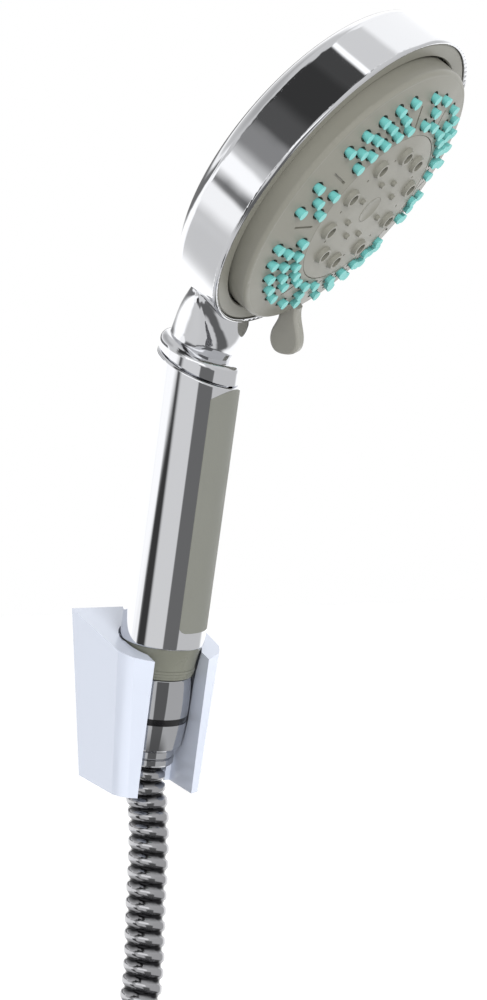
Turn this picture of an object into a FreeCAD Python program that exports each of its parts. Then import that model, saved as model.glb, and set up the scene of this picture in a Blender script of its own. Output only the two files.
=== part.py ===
import FreeCAD, Part
import math
import os
from FreeCAD import Placement, Rotation, Vector

# Handheld shower head in its wall holder, with its hose. Millimetres, +Z up, the wall is the
# plane Y = 0 and the object stands out towards -Y. The origin lies on the holder's back face,
# level with the lower rim of the chrome handle.

# Pose of the handset in the holder
LEAN = 13.8            # handle leans away from the wall
SWIVEL = 29.1          # head turned towards +X about the handle
HANDLE_OUT = 22.7      # wall to the handle's axis, at its lower rim

# Handle
HANDLE_R = 14.3
HANDLE_BORE = 12.2
SHOULDER_Z = 93.6      # height of the sloping shoulder on the axis
SHOULDER_TILT = 20.0
GRIP_HALF = 9.6
GRIP_LOW, GRIP_HIGH, GRIP_CROWN = 6.0, 85.0, 3.2
GRIP_SEAT = 13.1
COLLAR_LEN = 11.0
STUB_R = 13.9

# Head
HEAD_OUT, HEAD_UP = 41.5, 159.1   # centre of the lip plane from the lower rim's centre
HEAD_TILT = 29.9                  # the face looks this far below square to the handle
HEAD_R = 56.3
BAND_BACK_R, BAND_DEEP = 55.5, 15.0
BAND_BORE = 53.9
DOME_HIGH = 13.0
LIP_R = 54.9
DIAL_R = 49.2
DISC_R = 28.7
HUB_R = 6.0
DIAL_EDGE_T, DISC_EDGE_T = 6.6, 11.2   # heights of the dial's front above the lip plane
JETS, JET_RING = 10, 20.8
JET_START = 95.5
NIPPLES, NIPPLE_RING, NIPPLE_START = 8, 11.0, 72.5
LEVER_ANGLE = 287.0

# Hose and its fittings
HOSE_R = 7.0
HOSE_LENGTH = 1600.0
NUT_TOP, NUT_LOW = -11.3, -36.5
FERRULE_LOW = -42.5
STEM_R = 5.0
TUBE_R = 5.0           # water tube in the handle
COIL_TURNS = 3.15
COIL_START = 120.0     # angle at which the hose joins the coil, seen from the front
COIL_PITCH = 14.0
TAIL_LENGTH = 50.0

# Running and moving gaps
RUN = 0.06
GAP = 0.35

X, Y, Z = Vector(1, 0, 0), Vector(0, 1, 0), Vector(0, 0, 1)
O = Vector(0, 0, 0)

HANDSET = Placement(Vector(0, -HANDLE_OUT, 0), Rotation(X, LEAN).multiply(Rotation(Z, SWIVEL)))
SOCKET = Placement(Vector(0, -HANDLE_OUT, 0), Rotation(X, LEAN))
HEAD = Placement(Vector(0, -HEAD_OUT, HEAD_UP), Rotation(X, 90 + HEAD_TILT))


def placed(shape, *frames):
    """The shape carried into the outermost frame; frames are listed from the outside in."""
    moved = shape.copy()
    for frame in reversed(frames):
        moved.Placement = frame.multiply(moved.Placement)
    return moved


def turned(*steps):
    """Solid of revolution about Z. A step is a point (r, z), or an arc ((r, z) mid, (r, z) end)."""
    edges = []
    here = Vector(steps[0][0], 0, steps[0][1])
    for step in list(steps[1:]) + [steps[0]]:
        if isinstance(step[0], tuple):
            mid = Vector(step[0][0], 0, step[0][1])
            end = Vector(step[1][0], 0, step[1][1])
            edges.append(Part.Arc(here, mid, end).toShape())
        else:
            end = Vector(step[0], 0, step[1])
            edges.append(Part.makeLine(here, end))
        here = end
    solid = Part.Face(Part.Wire(edges)).revolve(O, Z, 360)
    return solid if solid.Volume > 0 else solid.reversed()


def ring(inner, outer, low, high):
    return turned((inner, low), (outer, low), (outer, high), (inner, high))


def disc(radius, low, high):
    return Part.makeCylinder(radius, high - low, Vector(0, 0, low))


def torus(major, minor, height):
    return Part.makeTorus(major, minor, Vector(0, 0, height))


def polar(radius, angle, height=0.0):
    return Vector(radius * math.cos(math.radians(angle)), radius * math.sin(math.radians(angle)), height)


def at(solid, spot, axis=Z):
    """A solid made about Z at the origin, stood at a spot along an axis."""
    moved = solid.copy()
    moved.Placement = Placement(spot, Rotation(Z, axis)).multiply(moved.Placement)
    return moved


def oval(centre, across, along, a, b, points=24):
    """Closed smooth oval wire with half widths a and b."""
    curve = Part.BSplineCurve()
    spots = []
    for i in range(points):
        turn = 2 * math.pi * i / points
        spots.append(centre + across * (a * math.cos(turn)) + along * (b * math.sin(turn)))
    curve.interpolate(spots, PeriodicFlag=True)
    return Part.Wire(curve.toShape())


def head_point(e, t):
    """A point of the handset's middle plane: e up the face, t out of it."""
    return HEAD.multVec(Vector(0, e, t))


def export(name, *solids):
    shape = solids[0] if len(solids) == 1 else Part.makeCompound(list(solids))
    if len(shape.Solids) == 1:
        shape = shape.Solids[0]
    shape.exportStep("parts/" + name + ".step")


# ---------------------------------------------------------------- wall holder

SLOT_HALF = 10.75
PLAN_HIGH, PLAN_LOW = 12.0, -56.0
TOP_BACK, TOP_SLOPE = 10.0, 0.475
LOW_BACK, LOW_SLOPE = -46.7, 0.245
SCREW_R, SCREW_HEAD_R = 2.2, 4.2
SCREWS = [(-6.0, 5.0), (-32.0, 0.7)]   # height, and how far from the wall the countersink starts


def plan(height, back, corner_x, corner_y, tip, rounding=3.5):
    """Outline of the holder at one height: flat back, straight sides, front facets meeting at a tip."""
    slope = Vector(-corner_x, -(tip - corner_y), 0).normalize()
    side = Vector(corner_x - back, -corner_y, 0).normalize()
    corner = Vector(corner_x, -corner_y, height)
    before, after = corner - side * rounding, corner + slope * rounding
    middle = corner + (slope - side).normalize() * (rounding * 0.42)
    right = [Part.makeLine(Vector(back, 0, height), before), Part.Arc(before, middle, after).toShape(),
             Part.makeLine(after, Vector(0, -tip, height))]
    left = [edge.mirror(O, X) for edge in right]
    closing = Part.makeLine(Vector(-back, 0, height), Vector(back, 0, height))
    return Part.Wire(Part.__sortEdges__(right + left + [closing]))


def wall_bracket():
    body = Part.makeLoft([plan(PLAN_LOW, 18.5, 16.8, 21.4, 27.1),
                          plan(PLAN_HIGH, 21.7, 20.9, 33.1, 46.4)], True, True)
    body.translate(Vector(0, 0.05, 0))
    body = body.cut(Part.makeBox(120, 20, 220, Vector(-60, 0, -140)))
    over = Part.makeBox(80, 80, 40, Vector(-40, -70, 0))
    over.Placement = Placement(Vector(0, 0, TOP_BACK), Rotation(X, math.degrees(math.atan(TOP_SLOPE))))
    under = Part.makeBox(80, 80, 40, Vector(-40, -70, -40))
    under.Placement = Placement(Vector(0, 0, LOW_BACK), Rotation(X, math.degrees(math.atan(LOW_SLOPE))))
    seat = turned((0, 30), (HANDLE_R + 0.6, 30), (HANDLE_R + 0.6, -0.5), (13.95, -0.5), (12.8, -9.5),
                  (12.5, -16), (12.4, -27), (11.6, -37.2), (9.8, -38.2), (9.8, -43.2), (8.7, -44.2), (8.7, -70),
                  (0, -70))
    slot = Part.makeBox(2 * SLOT_HALF, 60, 120, Vector(-SLOT_HALF, -60, -80))
    body = body.cut(over).cut(under).cut(placed(seat, SOCKET)).cut(placed(slot, SOCKET))
    for z, sink in SCREWS:
        body = body.cut(Part.makeCylinder(SCREW_R, 30, Vector(0, 0, z), -Y))
        body = body.cut(Part.makeCone(SCREW_R, SCREW_HEAD_R, 2.0, Vector(0, -sink, z), -Y))
        body = body.cut(Part.makeCylinder(SCREW_HEAD_R, 30, Vector(0, -sink - 2.0, z), -Y))
    return body


# ---------------------------------------------------------------- handle

def shoulder_block(rise=0.0):
    """Everything above the sloping shoulder of the handle."""
    block = Part.makeBox(80, 80, 60, Vector(-40, -40, 0))
    block.Placement = Placement(Vector(0, 0, SHOULDER_Z + rise), Rotation(X, SHOULDER_TILT))
    return block


def grip_prism():
    """Upright slab that bounds the soft grip, seen from the front of the handle; its top is crowned."""
    def p(x, z):
        return Vector(x, -20, z)
    half, r = GRIP_HALF, 2.2
    outline = [Part.makeLine(p(-half + r, GRIP_LOW), p(half - r, GRIP_LOW)),
               Part.Arc(p(half - r, GRIP_LOW), p(half - 0.29 * r, GRIP_LOW + 0.29 * r), p(half, GRIP_LOW + r)).toShape(),
               Part.makeLine(p(half, GRIP_LOW + r), p(half, GRIP_HIGH)),
               Part.Arc(p(half, GRIP_HIGH), p(0, GRIP_HIGH + GRIP_CROWN), p(-half, GRIP_HIGH)).toShape(),
               Part.makeLine(p(-half, GRIP_HIGH), p(-half, GRIP_LOW + r)),
               Part.Arc(p(-half, GRIP_LOW + r), p(-half + 0.29 * r, GRIP_LOW + 0.29 * r), p(-half + r, GRIP_LOW)).toShape()]
    return Part.Face(Part.Wire(outline)).extrude(Vector(0, 20, 0))


def handle_shell():
    body = disc(HANDLE_R, 0, 104).cut(shoulder_block())
    rim = [e for e in body.Edges if e.CenterOfMass.z > 80 and e.Length > 60]
    body = body.makeFillet(0.9, rim)
    body = body.cut(disc(HANDLE_BORE, -1, 84.0)).cut(disc(11.45, 80, 110))
    lip = [e for e in body.Edges if abs(e.CenterOfMass.z) < 1e-3 and e.Length > 85]
    body = body.makeFillet(0.5, lip)
    return body.cut(ring(GRIP_SEAT, 16, 0, 100).common(grip_prism()))


def grip_insert():
    return ring(GRIP_SEAT, HANDLE_R + 0.12, 0, 100).common(grip_prism())


def end_collar():
    return turned((10.2, 0), (13.75, 0), ((12.7, -4.0), (12.15, -8.0)), (12.35, -8.0), (12.3, -8.9), (11.95, -8.9),
                  (12.1, -9.2), (12.05, -10.0), (11.7, -10.0), (11.8, -10.3), (11.7, -COLLAR_LEN), (10.2, -COLLAR_LEN))


def inlet_spigot():
    return turned((6.6, 16), (TUBE_R + RUN, 16), (TUBE_R + RUN, 20), (9.4, 20), (9.4, 6), (HANDLE_BORE, 6),
                  (HANDLE_BORE, 0), (10.2, 0), (10.2, -20), (8.5, -20), (8.5, -14), (4.2, -14), (4.2, 8),
                  (TUBE_R + RUN, 8), (TUBE_R + RUN, 14), (6.6, 14))


def tube_seal():
    return ring(TUBE_R, 6.6, 14, 16)


def flow_regulator():
    body = disc(8.5, -16.6, -14)
    holes = [at(disc(0.9, -20, -10), polar(5.0, 60 * i)) for i in range(6)]
    return body.cut(Part.makeCompound(holes))


def filter_screen():
    body = ring(0.8, 8.5, -18.2, -16.6)
    holes = [at(disc(0.55, -20, -10), polar(r, 360 / n * i)) for r, n in ((2.6, 8), (4.6, 14), (6.6, 20)) for i in range(n)]
    return body.cut(Part.makeCompound(holes))


TUBE_BEND_Z = 95.0
TUBE_END = head_point(-37.2, -13.9)


def waterway_path():
    """Straight up the handle, then one easy bend up the neck and into the head."""
    start, corner = Vector(0, 0, 8), Vector(0, 0, TUBE_BEND_Z)
    along = (TUBE_END - corner).normalize()
    half = Z.getAngle(along) / 2
    reach = 45.0 * math.tan(half)
    a, b = corner - Z * reach, corner + along * reach
    inner = (along - Z).normalize()
    middle = corner + inner * (45.0 / math.cos(half) - 45.0)
    return Part.Wire([Part.makeLine(start, a), Part.Arc(a, middle, b).toShape(), Part.makeLine(b, TUBE_END)])


def pipe(path, radius, start, axis):
    profile = Part.Wire(Part.makeCircle(radius, start, axis))
    return path.makePipeShell([profile], True, False)


def waterway_tube():
    path = waterway_path()
    outer = pipe(path, TUBE_R, Vector(0, 0, 8), Z)
    return outer.cut(pipe(path, 3.7, Vector(0, 0, 8), Z)).cut(placed(disc(BAND_BORE, -8.45, 40), HEAD))


# ---------------------------------------------------------------- hose nut and ferrule

RING_LOW, RING_HIGH = -27.0, -24.7


def hose_nut():
    return turned((10.2, NUT_TOP), (11.2, NUT_TOP), (11.5, NUT_TOP - 0.4), ((11.95, -17), (12.0, RING_HIGH)),
                  (11.3, RING_HIGH), (11.3, RING_LOW), (11.95, RING_LOW), ((11.6, -31.5), (11.1, NUT_LOW + 0.6)),
                  (10.6, NUT_LOW), (STEM_R + GAP, NUT_LOW), (STEM_R + GAP, -25.0), (9.9, -25.0), (9.9, -20.4),
                  (10.2, -20.4))


def nut_ring():
    return turned((11.3, RING_LOW), (11.75, RING_LOW), (11.85, -25.85), (11.8, RING_HIGH), (11.3, RING_HIGH))


def hose_washer():
    return ring(6.2, 9.8, -22, -20)


def hose_stem():
    return turned((3.6, -22.3), (9.3, -22.3), (9.3, -24.5), (STEM_R, -24.5), (STEM_R, -39), (3.6, -39))


def ferrule(a, b):
    """Crimped end sleeve, from its nut end at height a down to the hose's end at b."""
    return turned((STEM_R, a), (8.6, a), (9.1, a - 0.5), (9.1, a - 2.6), (8.7, a - 3.0), (9.3, a - 3.4), (9.3, b + 0.6),
                  (8.9, b), (0, b), (0, a - 2.2), (STEM_R, a - 2.2))


# ---------------------------------------------------------------- hose route

EXIT = SOCKET.multVec(Vector(0, 0, FERRULE_LOW))
COIL_OUT = 14.0        # wall to the first turn
# The hose leaves along the handle's axis, hangs down and swings left to meet the coil.
ROUTE = [EXIT,
         EXIT - SOCKET.Rotation.multVec(Z) * 7.0,
         Vector(1.4, -10.2, -59.0),
         Vector(2.2, -10.7, -74.0),
         Vector(1.3, -11.6, -93.0),
         Vector(-1.2, -12.6, -116.0),
         Vector(-7.2, -13.4, -138.0),
         Vector(-17.9, -14.0, -157.0),
         Vector(-33.1, -14.0, -172.2),
         Vector(-51.3, -COIL_OUT, -182.7)]
JOIN = ROUTE[-1]       # where the hose meets the coil


def route_path(points):
    """Straight runs joined by tangent arcs, each as large as its two runs allow."""
    edges, radii, here = [], [], points[0]
    for before, corner, after in zip(points, points[1:], points[2:]):
        a, b = (before - corner), (after - corner)
        short = min(a.Length, b.Length)
        turn = math.pi - a.getAngle(b)
        reach = 0.45 * short
        radius = reach / math.tan(turn / 2)
        a.normalize()
        b.normalize()
        start, end = corner + a * reach, corner + b * reach
        middle = corner + (a + b).normalize() * (radius / math.cos(turn / 2) - radius)
        edges += [Part.LineSegment(here, start).toShape(), Part.Arc(start, middle, end).toShape()]
        radii.append(round(radius, 1))
        here = end
    edges.append(Part.LineSegment(here, points[-1]).toShape())
    return Part.Wire(edges), radii


ROUTE_WIRE, ROUTE_RADII = route_path(ROUTE)
COIL_R = (HOSE_LENGTH - ROUTE_WIRE.Length - TAIL_LENGTH) / (2 * math.pi * COIL_TURNS)
COIL_CENTRE = JOIN - Vector(math.cos(math.radians(COIL_START)), 0, math.sin(math.radians(COIL_START))) * COIL_R
COIL_DEEP = COIL_TURNS * COIL_PITCH
TAIL_ANGLE = COIL_START + 360 * COIL_TURNS
COIL = Placement(COIL_CENTRE, Rotation(X, 90))   # coil's own Z points off the wall


def on_coil(angle, out=0.0, radius=None):
    return COIL.multVec(polar(COIL_R if radius is None else radius, angle, out))


TAIL_DIR = COIL.Rotation.multVec(polar(1, TAIL_ANGLE + 90))
TAIL_START = on_coil(TAIL_ANGLE, COIL_DEEP)
TAIL_END = TAIL_START + TAIL_DIR * TAIL_LENGTH
TAIL = Placement(TAIL_END, Rotation(Z, TAIL_DIR))


def hose_tube():
    return pipe(ROUTE_WIRE, HOSE_R, ROUTE[0], ROUTE[1] - ROUTE[0])


def hose_tail():
    return Part.makeCylinder(HOSE_R, TAIL_LENGTH, TAIL_START, TAIL_DIR)


def hose_coil():
    band = ring(COIL_R - HOSE_R, COIL_R + HOSE_R, -HOSE_R, COIL_DEEP + HOSE_R)
    return placed(band, COIL)


def coil_tie():
    wall, half_angle = 1.3, 3.5
    low, high = -HOSE_R, COIL_DEEP + HOSE_R
    outer = ring(COIL_R - HOSE_R - wall, COIL_R + HOSE_R + wall, low - wall, high + wall)
    band = outer.cut(ring(COIL_R - HOSE_R, COIL_R + HOSE_R, low, high))
    wedge = Part.makePolygon([O, polar(200, 145 - half_angle), polar(200, 145 + half_angle), O])
    wedge = Part.Face(wedge).extrude(Vector(0, 0, 200))
    wedge.translate(Vector(0, 0, -80))
    return placed(band.common(wedge), COIL).cut(hose_tube())


def end_stem():
    return turned((3.6, 13.3), (9.3, 13.3), (9.3, 11.3), (STEM_R, 11.3), (STEM_R, 4.0), (3.6, 4.0))


def end_nut():
    hexagon = Part.Face(Part.makePolygon([polar(13.2, 60 * i, 7.0) for i in range(7)])).extrude(Vector(0, 0, 15))
    skirt = turned((0, 7.0), (11.4, 7.0), (14, 9.6), (14, 20.6), (12.2, 22), (0, 22))
    bore = turned((0, 0), (STEM_R + GAP, 0), (STEM_R + GAP, 10.8), (9.7, 10.8), (9.7, 15.65), (9.32, 15.65), (9.32, 22),
                  (0, 22))
    return hexagon.common(skirt).cut(bore)


def end_washer():
    return ring(6.2, 9.25, 13.65, 15.55)


# ---------------------------------------------------------------- head, built about its own axis

def neck(shrink=0.0):
    """Neck: round where it leaves the stub, growing to a wide oval where it meets the head's band."""
    sections = []
    for forward, up, tilt, radius in ((-1.3, 96.8, 22, 11.3), (-0.7, 100.6, 25, 10.9)):
        along = Rotation(X, tilt).multVec(Y)
        sections.append(oval(Vector(0, -forward, up), X, along, radius - shrink, radius - shrink))
    out = HEAD.Rotation.multVec(Z)
    for e, t, wide, deep in ((-62.0, -8.5, 15.5, 11.5), (-56.5, -9.3, 19.0, 10.0), (-48.5, -10.4, 18.0, 8.6)):
        sections.append(oval(head_point(e, t), X, out, wide - shrink, deep - shrink))
    return Part.makeLoft(sections, True, False)


def neck_stub():
    """Short stub in line with the handle, cut parallel to its shoulder and rounded over at the top."""
    stub = disc(STUB_R, 84, 125).common(shoulder_block(0.7)).cut(shoulder_block(6.8))
    top = max(stub.Edges, key=lambda e: e.CenterOfMass.z if e.Length > 60 and len(e.Vertexes) == 1 else 0)
    return stub.makeFillet(2.9, [top])


def dome(radius, back, high):
    """Solid dome behind the band: half an ellipse turned about the axis."""
    curve = Part.BSplineCurve()
    spots = []
    for i in range(13):
        turn = math.pi / 2 * i / 12
        spots.append(Vector(radius * math.cos(turn), 0, -back - high * math.sin(turn)))
    curve.interpolate(spots)
    edges = [curve.toShape(), Part.makeLine(spots[-1], Vector(0, 0, -back)),
             Part.makeLine(Vector(0, 0, -back), spots[0])]
    return Part.Face(Part.Wire(edges)).revolve(O, Z, 360)


def head_body():
    band = turned((BAND_BORE, -BAND_DEEP), (BAND_BACK_R, -BAND_DEEP), (HEAD_R, -0.8), ((HEAD_R - 0.25, 0.3), (55.7, 0.6)),
                  ((55.2, 0.5), (LIP_R, 0.1)), (LIP_R, -3.2), (BAND_BORE, -3.2), (BAND_BORE, -8.4), (51.4, -8.4),
                  (51.4, -11.0), (BAND_BORE, -11.0))
    inside = disc(BAND_BORE, -BAND_DEEP, 2).fuse(disc(LIP_R, -3.2, 2))
    behind = dome(BAND_BACK_R, BAND_DEEP, DOME_HIGH)
    spigot = disc(11.4, 84, 100).cut(shoulder_block(1.0))
    stalk = neck().fuse(neck_stub()).fuse(spigot)
    stalk = stalk.cut(placed(inside, HEAD)).cut(placed(behind, HEAD))
    body = stalk.fuse(placed(band, HEAD))
    ledge = placed(ring(51.4, BAND_BORE, -11.0, -8.4), HEAD)
    hollow = neck(2.2).fuse(disc(8.6, 80, SHOULDER_Z + 4))
    return body.cut(hollow.cut(ledge)).cut(waterway_bore(TUBE_R + 0.5))


def waterway_bore(radius):
    """The waterway tube's own space, run on a little past its upper end."""
    return pipe(waterway_path(), radius, Vector(0, 0, 8), Z)


def back_cover():
    shell = dome(BAND_BACK_R, BAND_DEEP, DOME_HIGH).cut(dome(BAND_BACK_R - 2.2, BAND_DEEP - 0.01, DOME_HIGH - 2.0))
    skirt = ring(51.6, BAND_BORE, -BAND_DEEP - 0.8, -11.0)
    notch = Part.makeBox(36, 20, 12, Vector(-18, -62, -BAND_DEEP))
    return shell.fuse(skirt.cut(notch))


def water_chamber():
    """Pan behind the port plate that spreads the water."""
    pan = turned((0, -20), (39.0, -20), (40.0, -19), (40.0, -10.6), (47.0, -10.6), (47.0, -8.4), (38.0, -8.4), (38.0, -18),
                 (0, -18))
    return placed(pan, HEAD).cut(waterway_bore(TUBE_R))


PLATE_FRONT = -5.4
ROTOR_BACK, ROTOR_FRONT = -2.4, 0.0
SCREW_ANGLES = [45, 135, 225, 315]
PORTS = [(22.0, 60.0), (22.0, 240.0)]
SLEEVE_R = 8.5
HUB_TOP = 8.0
DETENT = polar(38.0, 90.0)


def port_plate():
    """Fixed plate that carries the hub, two water ports and the click spring."""
    body = disc(BAND_BORE, -8.4, PLATE_FRONT).fuse(disc(HUB_R, -8.4, HUB_TOP))
    cuts = [at(disc(2.6, -9, -5), polar(r, a)) for r, a in PORTS]
    cuts += [at(disc(1.5, -9, -5), polar(43.5, a)) for a in SCREW_ANGLES]
    cuts += [disc(1.25, -4, 9), Part.makeBox(12.4, 3.4, 4, Vector(DETENT.x - 6.2, DETENT.y - 1.7, -7.9))]
    return body.cut(Part.makeCompound(cuts))


def plate_screws():
    """Pan-head screws that clamp the port plate to the chamber."""
    one = turned((0, -8.39), (1.45, -8.39), (1.45, PLATE_FRONT), (2.4, PLATE_FRONT), (2.4, -4.4), ((2.0, -3.8), (1.4, -3.6)),
                 (0, -3.6))
    return [at(one, polar(43.5, a)) for a in SCREW_ANGLES]


def port_seals():
    one = turned((2.6, PLATE_FRONT), (4.3, PLATE_FRONT), (4.3, -3.6), ((4.0, -2.9), (3.45, -2.75)), ((2.9, -2.9), (2.6, -3.6)))
    return [at(one, polar(r, a)) for r, a in PORTS]


def click_spring():
    """Bowed leaf spring under the click ball, its ends on the floor of the port plate's pocket."""
    def p(x, z):
        return Vector(DETENT.x + x, DETENT.y - 1.4, z)
    outline = [Part.Arc(p(-5.8, -7.9), p(0, -6.2), p(5.8, -7.9)).toShape(), Part.makeLine(p(5.8, -7.9), p(5.9, -7.6)),
               Part.Arc(p(5.9, -7.6), p(0, -5.9), p(-5.9, -7.6)).toShape(), Part.makeLine(p(-5.9, -7.6), p(-5.8, -7.9))]
    return Part.Face(Part.Wire(outline)).extrude(Vector(0, 2.8, 0))


def click_ball():
    return Part.makeSphere(1.6, DETENT + Vector(0, 0, -4.3))


def face_seal():
    return torus(47.0, 1.0, PLATE_FRONT + 1.0)


def face_ring():
    """Fixed plastic ring between the chrome lip and the dial."""
    return turned((49.9, -3.0), (49.9, -0.5), (50.3, -0.1), (54.2, -0.1), (LIP_R - 0.25, -0.45), (LIP_R, -0.9), (LIP_R, -3.2),
                  (BAND_BORE, -3.2), (BAND_BORE, PLATE_FRONT), (52.2, PLATE_FRONT), (52.2, -3.0))


# ---------------------------------------------------------------- dial

NOZZLE_RINGS = {"inner": 32.2, "middle": 36.6, "outer": 41.2}
BIG_CENTRES = [132.0, 226.0, 313.0, 44.0]
SMALL_CENTRES = [178.5, 269.0, 358.0, 87.5]
COLUMN = 10.2


def front_height(radius):
    """Height of the dial's cone-shaped front at a radius."""
    share = (DIAL_R - 1.7 - radius) / (DIAL_R - 1.7 - DISC_R)
    return DIAL_EDGE_T + (DISC_EDGE_T - DIAL_EDGE_T) * share


def nozzle_spots():
    """Four large groups of fourteen nozzles between four small groups of five."""
    spots = []
    for centre in BIG_CENTRES:
        for ring_name, count in (("outer", 5), ("middle", 4), ("inner", 5)):
            for i in range(count):
                spots.append((NOZZLE_RINGS[ring_name], centre + COLUMN * (i - (count - 1) / 2)))
    for centre in SMALL_CENTRES:
        spots.append((NOZZLE_RINGS["middle"] - 0.3, centre))
        for side in (-1, 1):
            spots.append((NOZZLE_RINGS["outer"] - 0.4, centre + 6.5 * side))
            spots.append((NOZZLE_RINGS["inner"] - 0.2, centre + 6.5 * side))
    return spots


def radial_grooves(inner, outer, depth, angles):
    """Thin straight grooves sunk in the cone-shaped front, each pointing at its centre."""
    layer = turned((inner, front_height(inner) - depth), (outer, front_height(outer) - depth), (outer, front_height(outer) + 1),
                   (inner, front_height(inner) + 1))
    bars = []
    for angle in angles:
        bar = Part.makeBox(60, 0.8, 30, Vector(0, -0.4, 0))
        bar.rotate(Vector(), Vector(0, 0, 1), angle)
        bars.append(bar)
    return layer.common(Part.makeCompound(bars))


def face_plate():
    edge = DIAL_R - 1.7
    body = turned((DISC_R, DISC_EDGE_T), (DISC_R, 6.0), (DISC_R + 1.8, 6.0), (DISC_R + 1.8, front_height(DISC_R + 1.8) - 2.2),
                  (47.2, front_height(47.2) - 2.2), (47.2, -2.6), (DIAL_R, -2.6), (DIAL_R, 4.9),
                  ((DIAL_R - 0.45, 6.1), (edge, DIAL_EDGE_T)))
    holes = [at(disc(2.1, front_height(r) - 4, front_height(r) + 2), polar(r, a)) for r, a in nozzle_spots()]
    grooves = radial_grooves(31.2, 38.6, 0.6, [centre + 15.5 * side for centre in SMALL_CENTRES for side in (-1, 1)])
    return body.cut(Part.makeCompound(holes)).cut(grooves)


def nozzle_mat():
    """Soft mat behind the face plate with one nozzle for each hole, widening towards its tip."""
    low = DISC_R + 1.8
    body = turned((low, front_height(low) - 3.6), (low, front_height(low) - 2.2), (47.2, front_height(47.2) - 2.2),
                  (47.2, front_height(47.2) - 3.6))
    cones = []
    for r, a in nozzle_spots():
        top = front_height(r)
        cones.append(at(Part.makeCone(0.95, 1.7, 4.7, Vector(0, 0, top - 2.9)), polar(r, a)))
    return body.multiFuse(cones)


def jet_disc():
    body = turned((4.9, 9.6), (24.0, 9.6), (24.0, 8.2), (DISC_R, 6.0), (DISC_R, DISC_EDGE_T - 0.35), (DISC_R - 0.35, DISC_EDGE_T),
                  ((20.0, 11.75), (10.0, 12.0)), (4.9, 12.0))
    bosses, holes = [], []
    for i in range(JETS):
        spot = polar(JET_RING, JET_START - 36 * i)
        bosses.append(at(Part.makeCone(3.6, 2.7, 2.2, Vector(0, 0, 10.8)), spot))
        holes.append(at(disc(1.9, 8, 14), spot))
        holes.append(at(disc(0.45, 8, 14), polar(20.2, 111 + 36 * i)))
    for i in range(NIPPLES):
        bosses.append(at(Part.makeCone(1.3, 0.8, 1.9, Vector(0, 0, 11.2)), polar(NIPPLE_RING, NIPPLE_START + 45 * i)))
    return body.multiFuse(bosses).cut(Part.makeCompound(holes))


def centre_cap():
    return turned((0, 9.6), (4.9, 9.6), (4.9, 11.9), (4.6, 12.1), ((2.6, 11.6), (0.8, 11.45)), (0, 11.45))


def dial_screw():
    """Screw and washer that hold the dial on the hub."""
    return turned((0, -3.5), (1.25, -3.5), (1.25, HUB_TOP), (8.0, HUB_TOP), (8.0, 8.5), (2.8, 8.5), (2.8, 9.0), ((2.1, 9.2), (1.0, 9.3)),
                  (0, 9.3))


def distribution_plate():
    """Rotor that steers the water; its sleeve runs on the hub."""
    body = turned((HUB_R + RUN, ROTOR_BACK), (47.2, ROTOR_BACK), (47.2, ROTOR_FRONT), (SLEEVE_R, ROTOR_FRONT),
                  (SLEEVE_R, HUB_TOP - GAP), (HUB_R + RUN, HUB_TOP - GAP))
    holes = [at(disc(2.4, -3, 1), polar(22.0, 60 + 30 * i)) for i in range(12)]
    holes += [at(disc(3.0, -3, 1), polar(37.0, 45 + 45 * i)) for i in range(8)]
    return body.cut(Part.makeCompound(holes))


def massage_turbine():
    """Loose bladed ring that chops the middle jets."""
    hub = ring(SLEEVE_R + RUN, 10.4, 1.0, 6.4)
    blades = []
    for i in range(6):
        blade = Part.makeBox(6.4, 1.0, 4.6, Vector(9.8, -0.5, 1.2))
        blade.rotate(O, Z, 60 * i)
        blades.append(blade)
    rim = ring(16.0, 17.2, 1.2, 5.8)
    return hub.multiFuse(blades + [rim])


def selector_lever():
    """Thumb lever: a flat teardrop tab standing out of the dial's rim, edge on to the turn."""
    spots = [(46, 1.9), (50, 2.6), (53.5, 3.9), (57.5, 4.0), (62.0, 5.0), (64.6, 8.3), (63.0, 12.8), (59.2, 15.6),
             (55.0, 14.6), (51.0, 11.4), (46, 8.6)]
    curve = Part.BSplineCurve()
    curve.interpolate([Vector(r, -2.1, t) for r, t in spots])
    root = Part.makeLine(Vector(46, -2.1, 8.6), Vector(46, -2.1, 1.9))
    tab = Part.Face(Part.Wire([curve.toShape(), root])).extrude(Vector(0, 4.2, 0))
    tab = tab.makeFillet(1.2, [e for e in tab.Edges if abs(abs(e.CenterOfMass.y) - 2.1) < 1e-6 and e.CenterOfMass.x > 46.5])
    tab.rotate(O, Z, LEVER_ANGLE)
    core = turned((0, -2.6), (DIAL_R, -2.6), (DIAL_R, 4.9), ((DIAL_R - 0.45, 6.1), (DIAL_R - 1.7, DIAL_EDGE_T)),
                  (DISC_R, DISC_EDGE_T), (0, DISC_EDGE_T))
    return tab.cut(core)


# ---------------------------------------------------------------- build

HOSE_FRAME = (SOCKET,)
HANDSET_FRAME = (HANDSET,)
HEAD_FRAME = (HANDSET, HEAD)
TAIL_FRAME = (TAIL,)

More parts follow.
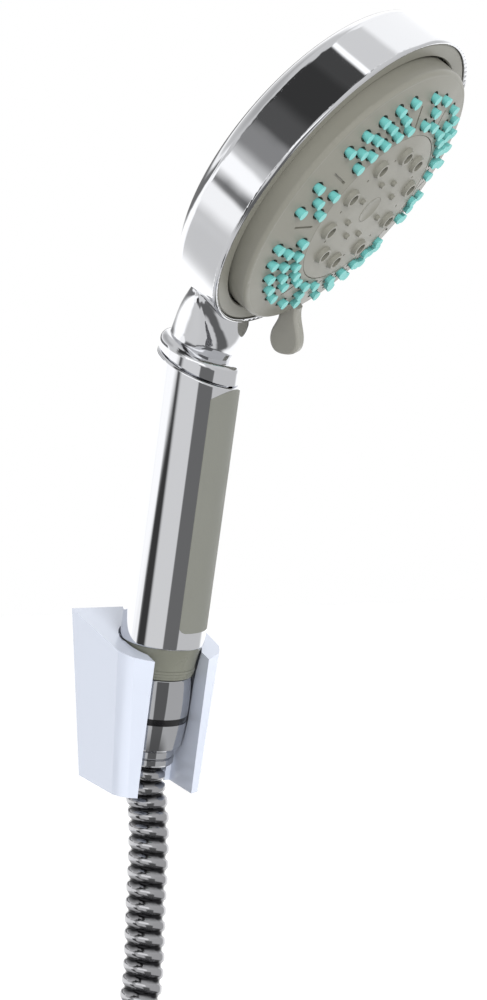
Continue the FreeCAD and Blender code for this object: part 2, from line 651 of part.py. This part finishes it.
NODES = [
    ("wall_bracket", wall_bracket(), ()),
    ("hose_stem", hose_stem(), HOSE_FRAME),
    ("hose_ferrule", ferrule(-36.8, FERRULE_LOW), HOSE_FRAME),
    ("hose_tube", hose_tube(), ()),
    ("hose_coil", hose_coil(), ()),
    ("hose_tail", hose_tail(), ()),
    ("coil_tie", coil_tie(), ()),
    ("end_ferrule", ferrule(6.2, 0.0), TAIL_FRAME),
    ("end_stem", end_stem(), TAIL_FRAME),
    ("end_nut", end_nut(), TAIL_FRAME),
    ("end_washer", end_washer(), TAIL_FRAME),
    ("hose_nut", hose_nut(), HANDSET_FRAME),
    ("nut_ring", nut_ring(), HANDSET_FRAME),
    ("hose_washer", hose_washer(), HANDSET_FRAME),
    ("inlet_spigot", inlet_spigot(), HANDSET_FRAME),
    ("flow_regulator", flow_regulator(), HANDSET_FRAME),
    ("filter_screen", filter_screen(), HANDSET_FRAME),
    ("end_collar", end_collar(), HANDSET_FRAME),
    ("handle_shell", handle_shell(), HANDSET_FRAME),
    ("grip_insert", grip_insert(), HANDSET_FRAME),
    ("tube_seal", tube_seal(), HANDSET_FRAME),
    ("waterway_tube", waterway_tube(), HANDSET_FRAME),
    ("head_body", head_body(), HANDSET_FRAME),
    ("back_cover", back_cover(), HEAD_FRAME),
    ("water_chamber", water_chamber(), HANDSET_FRAME),
    ("port_plate", port_plate(), HEAD_FRAME),
    ("plate_screws", plate_screws(), HEAD_FRAME),
    ("port_seals", port_seals(), HEAD_FRAME),
    ("click_spring", click_spring(), HEAD_FRAME),
    ("click_ball", click_ball(), HEAD_FRAME),
    ("face_seal", face_seal(), HEAD_FRAME),
    ("face_ring", face_ring(), HEAD_FRAME),
    ("dial_screw", dial_screw(), HEAD_FRAME),
    ("face_plate", face_plate(), HEAD_FRAME),
    ("nozzle_mat", nozzle_mat(), HEAD_FRAME),
    ("jet_disc", jet_disc(), HEAD_FRAME),
    ("centre_cap", centre_cap(), HEAD_FRAME),
    ("distribution_plate", distribution_plate(), HEAD_FRAME),
    ("selector_lever", selector_lever(), HEAD_FRAME),
    ("massage_turbine", massage_turbine(), HEAD_FRAME),
]

os.makedirs("parts", exist_ok=True)
for name, shape, frames in NODES:
    solids = shape if isinstance(shape, list) else [shape]
    moved = [placed(s, *frames) for s in solids]
    export(name, *moved)
    print(name, "solids", sum(len(s.Solids) for s in moved), "valid", all(s.isValid() for s in moved),
          "cm3", round(sum(s.Volume for s in moved) / 1000, 2))

hose_volume = math.pi * HOSE_R ** 2 * ROUTE_WIRE.Length
print("hose radii", ROUTE_RADII, "coil radius", round(COIL_R, 1), "route", round(ROUTE_WIRE.Length, 1))
print("hose volume against section times length", round(hose_tube().Volume / hose_volume, 4))
print("joint axes", "handle", HANDSET.Rotation.multVec(Z), "face", HANDSET.multiply(HEAD).Rotation.multVec(Z))
print("head centre", HANDSET.multVec(HEAD.Base), "tail", TAIL_END, TAIL_DIR)
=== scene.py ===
import math

import bpy
import numpy as np
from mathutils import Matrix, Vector


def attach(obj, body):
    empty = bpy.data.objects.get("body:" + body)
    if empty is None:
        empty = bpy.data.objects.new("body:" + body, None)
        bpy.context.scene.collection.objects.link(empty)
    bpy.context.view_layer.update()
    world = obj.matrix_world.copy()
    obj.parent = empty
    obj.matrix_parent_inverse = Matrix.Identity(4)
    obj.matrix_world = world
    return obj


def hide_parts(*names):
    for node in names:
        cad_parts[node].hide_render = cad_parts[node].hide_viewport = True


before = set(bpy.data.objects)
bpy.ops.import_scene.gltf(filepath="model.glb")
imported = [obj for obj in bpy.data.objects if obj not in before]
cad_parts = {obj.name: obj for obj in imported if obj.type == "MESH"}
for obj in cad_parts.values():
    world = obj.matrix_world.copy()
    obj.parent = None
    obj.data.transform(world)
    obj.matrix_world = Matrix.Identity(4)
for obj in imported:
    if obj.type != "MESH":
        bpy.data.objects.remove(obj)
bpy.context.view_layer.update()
scene = bpy.context.scene
scene.view_settings.view_transform = "Standard"


# ---------------------------------------------------------------- camera
# A long lens a little to the left of square on to the wall, level with the
# handle's foot, so the face of the head looks past it to the lower right.
VIEW = Vector((0.57343, 0.81924, -0.00379))
camera = bpy.data.objects.new("camera", bpy.data.cameras.new("camera"))
camera.location = (-0.4256, -0.6784, 0.0496)
camera.rotation_euler = VIEW.to_track_quat("-Z", "Y").to_euler()
camera.data.sensor_fit = "VERTICAL"
camera.data.sensor_height = 36
camera.data.lens = 83.78
scene.collection.objects.link(camera)
scene.camera = camera


# ---------------------------------------------------------------- shower hose
# A double-lock hose: one strip of chromed steel folded over itself in a spiral around a
# rubber tube, so each turn is a wide rounded bead beside a narrow sunk band. It hangs
# from the handset's nut, and the spare length is wound in a tied coil under the holder.
HOSE_R = 0.007
ROUTE = [Vector((0.0, -12.562, -41.273)), Vector((0.0, -10.892, -48.071)), Vector((2.7, -10.2, -59.0)),
         Vector((2.3, -10.7, -74.0)), Vector((0.3, -11.6, -93.0)), Vector((-0.9, -12.6, -116.0)),
         Vector((-6.2, -13.4, -138.0)), Vector((-17.9, -14.0, -157.0)), Vector((-33.1, -14.0, -172.2)),
         Vector((-51.3, -14.0, -182.7))]
COIL_R, COIL_TURNS, COIL_START, COIL_PITCH = 70.1, 3.15, 120.0, 14.0
COIL_STEPS, TAIL_LENGTH = 57, 50.0


def coil_points(angles):
    """A circle about the coil's centre that steps off the wall by one pitch for each full turn."""
    turn = np.radians(angles)
    circle = np.stack([COIL_R * np.cos(turn), -COIL_PITCH * (angles - COIL_START) / 360, COIL_R * np.sin(turn)], axis=1)
    first = math.radians(COIL_START)
    centre = np.array(ROUTE[-1]) - COIL_R * np.array((math.cos(first), 0, math.sin(first)))
    return circle + centre


# The tail leaves the last turn straight on, along its tangent, through three points a third of its length apart.
coil_end = COIL_START + 360 * COIL_TURNS
coil = coil_points(np.linspace(COIL_START, coil_end, COIL_STEPS + 1))[1:]
tail_turn = math.radians(coil_end + 90)
tail = coil[-1] + np.outer((0.34, 0.67, 1.0), (math.cos(tail_turn), 0, math.sin(tail_turn))) * TAIL_LENGTH
hose_points = np.concatenate([np.array(ROUTE), coil, tail]) / 1000

route_curve = bpy.data.curves.new("hose_route", "CURVE")
route_curve.dimensions = "3D"
spline = route_curve.splines.new("NURBS")
spline.points.add(len(hose_points) - 1)
spline.points.foreach_set("co", np.c_[hose_points, np.ones(len(hose_points))].ravel())
spline.order_u = 3
spline.use_endpoint_u = True
spline.resolution_u = 12
route_object = bpy.data.objects.new("hose_route", route_curve)
scene.collection.objects.link(route_object)
bpy.context.view_layer.update()
route_mesh = bpy.data.meshes.new_from_object(route_object)
hose_line = np.array([v.co for v in route_mesh.vertices])
bpy.data.objects.remove(route_object)

BEAD_PITCH = 0.0052
BEAD_SHARE = 0.70
BAND_DEPTH = 0.0011
BEAD_ROUND = 0.0008


def sheath_depth(distance, angle):
    """How far the sheath lies under its full radius: along one pitch a bead falls off at both edges as the
    fourth power of the way from its middle, and a flat band lies deeper. The pitch winds once round per turn."""
    phase = (distance / BEAD_PITCH + angle / (2 * math.pi)) % 1
    across = np.abs(2 * phase / BEAD_SHARE - 1)
    return np.where(phase < BEAD_SHARE, BEAD_ROUND * across ** 4, BAND_DEPTH)


def sheath_along(name, line, sides, spacing):
    """Tube of circles carried along a line: each circle stands square to the line, starts at the wall side,
    and its radius is the hose's less the sheath's depth there. The depth is kept as the attribute 'sunk'."""
    step = np.linalg.norm(np.diff(line, axis=0), axis=1)
    run = np.concatenate([[0], np.cumsum(step)])
    at = np.linspace(0, run[-1], int(run[-1] / spacing) + 1)
    path = np.stack([np.interp(at, run, line[:, k]) for k in range(3)], axis=1)
    ahead = np.gradient(path, axis=0)
    ahead /= np.linalg.norm(ahead, axis=1)[:, None]
    wallward = np.array((0.0, 1.0, 0.0)) - ahead * ahead[:, 1:2]
    wallward /= np.linalg.norm(wallward, axis=1)[:, None]
    sideways = np.cross(ahead, wallward)
    angle = np.linspace(0, 2 * math.pi, sides, endpoint=False)
    sunk = sheath_depth(at[:, None], angle[None, :])
    circle = wallward[:, None, :] * np.cos(angle)[None, :, None] + sideways[:, None, :] * np.sin(angle)[None, :, None]
    verts = (path[:, None, :] + circle * (HOSE_R - sunk)[:, :, None]).reshape(-1, 3)
    verts = np.concatenate([verts, path[:1], path[-1:]])
    i, j = np.meshgrid(np.arange(len(at) - 1), np.arange(sides), indexing="ij")
    a, b = i * sides + j, i * sides + (j + 1) % sides
    skin = np.stack([a, b, b + sides, a + sides], axis=-1).reshape(-1, 4)[:, ::-1]
    k = np.arange(sides)
    last = (len(at) - 1) * sides
    top = np.stack([np.full(sides, len(at) * sides), k, (k + 1) % sides], axis=1)
    foot = np.stack([np.full(sides, len(at) * sides + 1), last + (k + 1) % sides, last + k], axis=1)
    mesh = bpy.data.meshes.new(name)
    mesh.from_pydata(verts.tolist(), [], skin.tolist() + top.tolist() + foot.tolist())
    mesh.shade_smooth()
    depth = mesh.attributes.new("sunk", "FLOAT", "POINT")
    depth.data.foreach_set("value", np.concatenate([sunk.ravel(), [0, 0]]) / BAND_DEPTH)
    piece = bpy.data.objects.new(name, mesh)
    scene.collection.objects.link(piece)
    return piece


def linear(colour):
    """sRGB hex to linear, the way a display value is decoded."""
    parts = [int(colour[i:i + 2], 16) / 255 for i in (1, 3, 5)]
    return [c / 12.92 if c <= 0.04045 else ((c + 0.055) / 1.055) ** 2.4 for c in parts] + [1.0]


def add(tree, kind, settings, inputs):
    """Add a node: settings go on the node itself, and each input gets a number, a colour or another node's output."""
    node = tree.nodes.new("ShaderNode" + kind)
    for name, value in settings.items():
        setattr(node, name, value)
    for name, value in inputs.items():
        if isinstance(value, bpy.types.NodeSocket):
            tree.links.new(value, node.inputs[name])
        else:
            node.inputs[name].default_value = value
    return node


def finish(name, colour, rough, metallic=0.0, haze_mm=22.0, haze=0.03, grain_mm=0.8, relief_mm=0.0, shade=0.03):
    """A surface whose roughness and brightness drift in soft clouds of one size, with a bump of a finer grain.
    A noise's scale is 1000 over the real size in millimetres, because the model is in metres."""
    material = bpy.data.materials.new(name)
    material.use_nodes = True
    tree = material.node_tree
    bsdf = tree.nodes["Principled BSDF"]
    bsdf.inputs["Metallic"].default_value = metallic
    where = add(tree, "TexCoord", {}, {}).outputs["Object"]
    clouds = add(tree, "TexNoise", {}, {"Vector": where, "Scale": 1000 / haze_mm, "Detail": 5.0}).outputs["Fac"]
    grain = add(tree, "TexNoise", {}, {"Vector": where, "Scale": 1000 / grain_mm, "Detail": 3.0}).outputs["Fac"]
    rougher = add(tree, "MapRange", {}, {"Value": clouds, "From Min": 0.35, "From Max": 0.65,
                                         "To Min": max(0.0, rough - haze), "To Max": rough + haze}).outputs["Result"]
    base = linear(colour)[:3]
    darker = [c * (1 - shade) for c in base] + [1]
    lighter = [min(1.0, c * (1 + shade)) for c in base] + [1]
    tint = add(tree, "Mix", {"data_type": "RGBA"}, {"Factor": clouds, "A": darker, "B": lighter}).outputs["Result"]
    relief = add(tree, "Bump", {}, {"Height": grain, "Strength": 0.6, "Distance": relief_mm / 1000}).outputs["Normal"]
    for result, socket in ((rougher, "Roughness"), (tint, "Base Color"), (relief, "Normal")):
        tree.links.new(result, bsdf.inputs[socket])
    return material


def dress(material, *names):
    """Give the named parts of the frame one material."""
    for name in names:
        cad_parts[name].data.materials.clear()
        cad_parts[name].data.materials.append(material)


# Chromed steel strip, rolled and folded: bright beads, and painted shade that darkens the sunk bands towards near
# black.
hose_steel = finish("rolled_chromed_steel", "#b4b4b7", 0.11, metallic=1.0, haze_mm=9, haze=0.04, grain_mm=1.4,
                    relief_mm=0.03)
tree = hose_steel.node_tree
bsdf = tree.nodes["Principled BSDF"]
sunk = add(tree, "Attribute", {"attribute_name": "sunk"}, {}).outputs["Fac"]
bright = bsdf.inputs["Base Color"].links[0].from_socket
# Painted shade: the deeper a point lies in a sunk band, the closer its colour goes to near black.
painted_band_shade = add(tree, "Mix", {"data_type": "RGBA"}, {"Factor": sunk, "A": bright, "B": linear("#29292b")}).outputs["Result"]
tree.links.new(painted_band_shade, bsdf.inputs["Base Color"])

SHEATH_SIDES = 28
SHEATH_SPACING = 0.00065
hose = sheath_along("hose", hose_line, SHEATH_SIDES, SHEATH_SPACING)
hose.data.materials.append(hose_steel)
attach(hose, "hose")
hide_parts("hose_tube", "hose_coil", "hose_tail")
dress(hose_steel, "hose_tube", "hose_coil", "hose_tail")


# ---------------------------------------------------------------- coil tie and seals
# A rubber band round the coil, moulded washers in both nuts, the ring under the handset's
# nut and the seals inside the head: black EPDM rubber, dull, with a fine moulding grain.
# It takes the light evenly, with no hard highlight.
rubber = finish("epdm_rubber", "#17171a", 0.5, haze_mm=6, haze=0.08, grain_mm=0.5, relief_mm=0.05, shade=0.15)
dress(rubber, "coil_tie", "end_washer", "hose_washer", "tube_seal", "port_seals", "face_seal")


# ---------------------------------------------------------------- nuts, ferrules and stems
# Turned brass, plated with nickel and bright chrome where it shows. The conical nuts turn
# on the hose's ferrules; plating over turned metal is the sharpest mirror on the object.
chrome_brass = finish("chromed_brass", "#bdbec1", 0.04, metallic=1.0, haze_mm=14, haze=0.02, grain_mm=5,
                      relief_mm=0.003, shade=0.01)
dress(chrome_brass, "hose_nut", "hose_ferrule", "end_nut", "end_ferrule")

# Bare turned brass on the stems: warm, with fine tool marks that blur its highlights.
brass = finish("turned_brass", "#c6a463", 0.22, metallic=1.0, haze_mm=8, haze=0.06, grain_mm=0.3, relief_mm=0.02, shade=0.05)
dress(brass, "hose_stem", "end_stem")

# The ring that shows between nut and stem is polished nitrile, so it carries a thin line of light.
nut_ring_rubber = finish("gloss_black_ring", "#0c0c0e", 0.22, haze_mm=5, haze=0.05, grain_mm=0.6, relief_mm=0.01, shade=0.1)
dress(nut_ring_rubber, "nut_ring")


# ---------------------------------------------------------------- wall holder
# Moulded in ABS and chrome plated: a forked socket on a block that is screwed to the wall.
# The finish over the moulding is softer and bluer than on the metal parts.
# Its satin coat scatters most of the light, so its flat faces read as pale blue-grey planes.
holder_chrome = finish("satin_chromed_abs", "#ccd2df", 0.22, metallic=0.18, haze_mm=16, haze=0.03, grain_mm=7,
                       relief_mm=0.01, shade=0.015)
dress(holder_chrome, "wall_bracket")


# ---------------------------------------------------------------- handle
# A chromed ABS tube with a soft grey insert pressed into its front, and a grey collar at
# the foot. The insert is matt with a fine spark-eroded grain that grips a wet hand.
# Bright decorative chrome: long sharp strips, faintly rippled as plating over a moulding is.
chrome = finish("chromed_abs", "#dfe0e3", 0.05, metallic=1.0, haze_mm=18, haze=0.02, grain_mm=9, relief_mm=0.004,
                shade=0.01)
dress(chrome, "handle_shell", "head_body", "back_cover")

# Thermoplastic rubber with a grain of about 0.7 mm, drawn a little coarser than the real one so that it shows.
grip_tpe = finish("spark_grained_tpe", "#6e6f68", 0.5, haze_mm=12, haze=0.05, grain_mm=0.7, relief_mm=0.05, shade=0.05)
dress(grip_tpe, "grip_insert")

# Satin ABS at the foot: one soft highlight round the collar's rim.
collar_abs = finish("satin_abs", "#6a6b61", 0.3, haze_mm=10, haze=0.05, grain_mm=0.7, relief_mm=0.01, shade=0.04)
dress(collar_abs, "end_collar", "inlet_spigot")


# ---------------------------------------------------------------- face of the head
# Satin warm-grey ABS: the fixed ring, the dial's cone-shaped plate with its sunk nozzle
# holes, the jet disc, the cap and the selector lever, all moulded with a light grain.
# The grain keeps the broad face matt; the lever is polished by the thumb.
face_abs = finish("grained_warm_grey_abs", "#74736a", 0.36, haze_mm=24, haze=0.05, grain_mm=0.8, relief_mm=0.02, shade=0.04)
dress(face_abs, "face_plate", "face_ring", "jet_disc", "centre_cap")
lever_abs = finish("polished_warm_grey_abs", "#82817a", 0.24, haze_mm=12, haze=0.04, grain_mm=0.9, relief_mm=0.008,
                   shade=0.03)
dress(lever_abs, "selector_lever")


# ---------------------------------------------------------------- nozzles
# One mat of sea-green silicone with a rubbed nozzle in every hole, soft enough to rub
# clean with a thumb: slightly translucent, with a dusty bloom on the tips.
silicone = finish("sea_green_silicone", "#6ab2ae", 0.4, haze_mm=5, haze=0.08, grain_mm=0.4, relief_mm=0.03, shade=0.08)
silicone.node_tree.nodes["Principled BSDF"].inputs["IOR"].default_value = 1.41
dress(silicone, "nozzle_mat")


# ---------------------------------------------------------------- water parts inside
# White acetal mouldings, stainless screws, screen and click parts, and a rotor and turbine coloured dark brown as
# painted shade:
# only these show, standing for the shadow at the bottoms of the jet holes.
acetal = finish("white_acetal", "#dcdcd8", 0.38, haze_mm=9, haze=0.05, grain_mm=0.6, relief_mm=0.01, shade=0.03)
dress(acetal, "flow_regulator", "waterway_tube", "water_chamber", "port_plate")

# Painted shade: the rotor and turbine are coloured dark brown so that they read as the shadow at the bottom of each
# hole.
hole_shade_acetal = finish("painted_hole_shade_acetal", "#3d352c", 0.42, haze_mm=9, haze=0.05, grain_mm=0.6, relief_mm=0.01, shade=0.08)
dress(hole_shade_acetal, "distribution_plate", "massage_turbine")

# Stainless steel, rolled or headed cold: grey and softly bright.
stainless = finish("stainless_steel", "#b9babd", 0.24, metallic=1.0, haze_mm=4, haze=0.06, grain_mm=0.3,
                   relief_mm=0.01, shade=0.04)
dress(stainless, "filter_screen", "plate_screws", "click_spring", "click_ball", "dial_screw")


# ---------------------------------------------------------------- floor and studio
# A plain pale floor well below the hose, and a white studio with soft boxes and grey
# flags around it: they give the chrome its bright strips, its greys and its dark lines.
FLOOR_Z, FLOOR_HALF = -0.36, 6.0
FLOOR_COLOUR, FLOOR_GLOW = "#f6f6f6", 0.35
corners = [(x * FLOOR_HALF, y * FLOOR_HALF, FLOOR_Z) for x, y in ((-1, -1), (1, -1), (1, 1), (-1, 1))]
floor_mesh = bpy.data.meshes.new("floor")
floor_mesh.from_pydata(corners, [], [(0, 1, 2, 3)])
floor = bpy.data.objects.new("floor", floor_mesh)
paper = finish("pale_paper", FLOOR_COLOUR, 0.9, haze_mm=400, haze=0.03, grain_mm=2, relief_mm=0.05, shade=0.01)
paper.node_tree.nodes["Principled BSDF"].inputs["Emission Color"].default_value = linear(FLOOR_COLOUR)
paper.node_tree.nodes["Principled BSDF"].inputs["Emission Strength"].default_value = FLOOR_GLOW
floor_mesh.materials.append(paper)
floor.visible_glossy = False  # so the chrome shows the studio below the horizon as well
scene.collection.objects.link(floor)

STUDIO_BASE = 0.72
# Each: degrees round to the right from the camera, degrees up, half width, half height, brightness, soft edge.
STUDIO = [
    (-140, 2, 50, 22, 1.35, 4), (160, 5, 32, 60, 1.3, 8), (60, 74, 44, 15, 0.80, 5), (24, 70, 6, 6, 1.4, 2),
    (135, 60, 34, 22, 1.2, 8), (-5, 4, 28, 8, 1.5, 4),
    (-22, -18, 26, 18, 0.80, 3), (88, -14, 42, 26, 0.66, 6), (24, -30, 21, 22, 0.17, 2), (-62, -24, 13, 16, 0.06, 6),
    (-90, -24, 10, 8, 0.75, 4), (-74, -3, 17, 6, 1.3, 1.5), (-84, -14, 10, 6, 1.2, 2), (-60, -15, 9, 7, 0.05, 3),
    (-140, 14, 45, 6, 0.20, 3), (-42, -42, 24, 9, 0.17, 4), (45, -58, 80, 16, 0.14, 5), (-50, 13, 9, 8, 0.30, 3),
    (-38, 28, 13, 11, 0.10, 3), (-18, 47, 24, 15, 0.045, 4), (6, 64, 14, 7, 0.07, 3), (-110, 45, 40, 12, 0.5, 10),
    (-130, -42, 60, 14, 0.75, 8),
]
# Each direction becomes two angles, and every box is laid over the ones before it with a soft edge.
world = bpy.data.worlds.new("studio")
world.use_nodes = True
tree = world.node_tree
direction = add(tree, "TexCoord", {}, {}).outputs["Generated"]
level = Vector((VIEW.x, VIEW.y, 0)).normalized()
rightward, cameraward = (add(tree, "VectorMath", {"operation": "DOT_PRODUCT"}, {0: direction, 1: along}).outputs["Value"]
                         for along in ((level.y, -level.x, 0), (-level.x, -level.y, 0)))
height = add(tree, "SeparateXYZ", {}, {"Vector": direction}).outputs["Z"]
azimuth = add(tree, "Math", {"operation": "ARCTAN2"}, {0: rightward, 1: cameraward}).outputs["Value"]
elevation = add(tree, "Math", {"operation": "ARCSINE"}, {0: height}).outputs["Value"]
brightness = STUDIO_BASE
for turn, up, half_width, half_height, value, soft in STUDIO:
    mask = 1.0
    for angle, centre, half in ((azimuth, turn, half_width), (elevation, up, half_height)):
        off = add(tree, "Math", {"operation": "SUBTRACT"}, {0: angle, 1: math.radians(centre)}).outputs["Value"]
        off = add(tree, "Math", {"operation": "WRAP"}, {0: off, 1: math.pi, 2: -math.pi}).outputs["Value"]
        off = add(tree, "Math", {"operation": "ABSOLUTE"}, {0: off}).outputs["Value"]
        edge = add(tree, "MapRange", {"interpolation_type": "SMOOTHSTEP"},
                   {"Value": off, "From Min": math.radians(half - soft), "From Max": math.radians(half + soft),
                    "To Min": 1.0, "To Max": 0.0}).outputs["Result"]
        mask = add(tree, "Math", {"operation": "MULTIPLY"}, {0: mask, 1: edge}).outputs["Value"]
    brightness = add(tree, "Mix", {}, {"Factor": mask, "A": brightness, "B": value}).outputs["Result"]
seen = add(tree, "LightPath", {}, {}).outputs["Is Camera Ray"]
strength = add(tree, "Mix", {}, {"Factor": seen, "A": brightness, "B": 1.0}).outputs["Result"]
tree.nodes["Background"].inputs["Color"].default_value = (1, 1, 1, 1)
tree.links.new(strength, tree.nodes["Background"].inputs["Strength"])
scene.world = world

# One large soft key from the front right; the chrome takes its brightness from the boxes, so the key is not seen in it.
key = bpy.data.lights.new("key", "AREA")
key.size = 0.8
key.energy = 20
lamp = bpy.data.objects.new("key", key)
lamp.location = (-0.285, -1.62, 0.45)
lamp.rotation_euler = (Vector((0, 0, 0.05)) - lamp.location).to_track_quat("-Z", "Y").to_euler()
lamp.visible_glossy = False
scene.collection.objects.link(lamp)
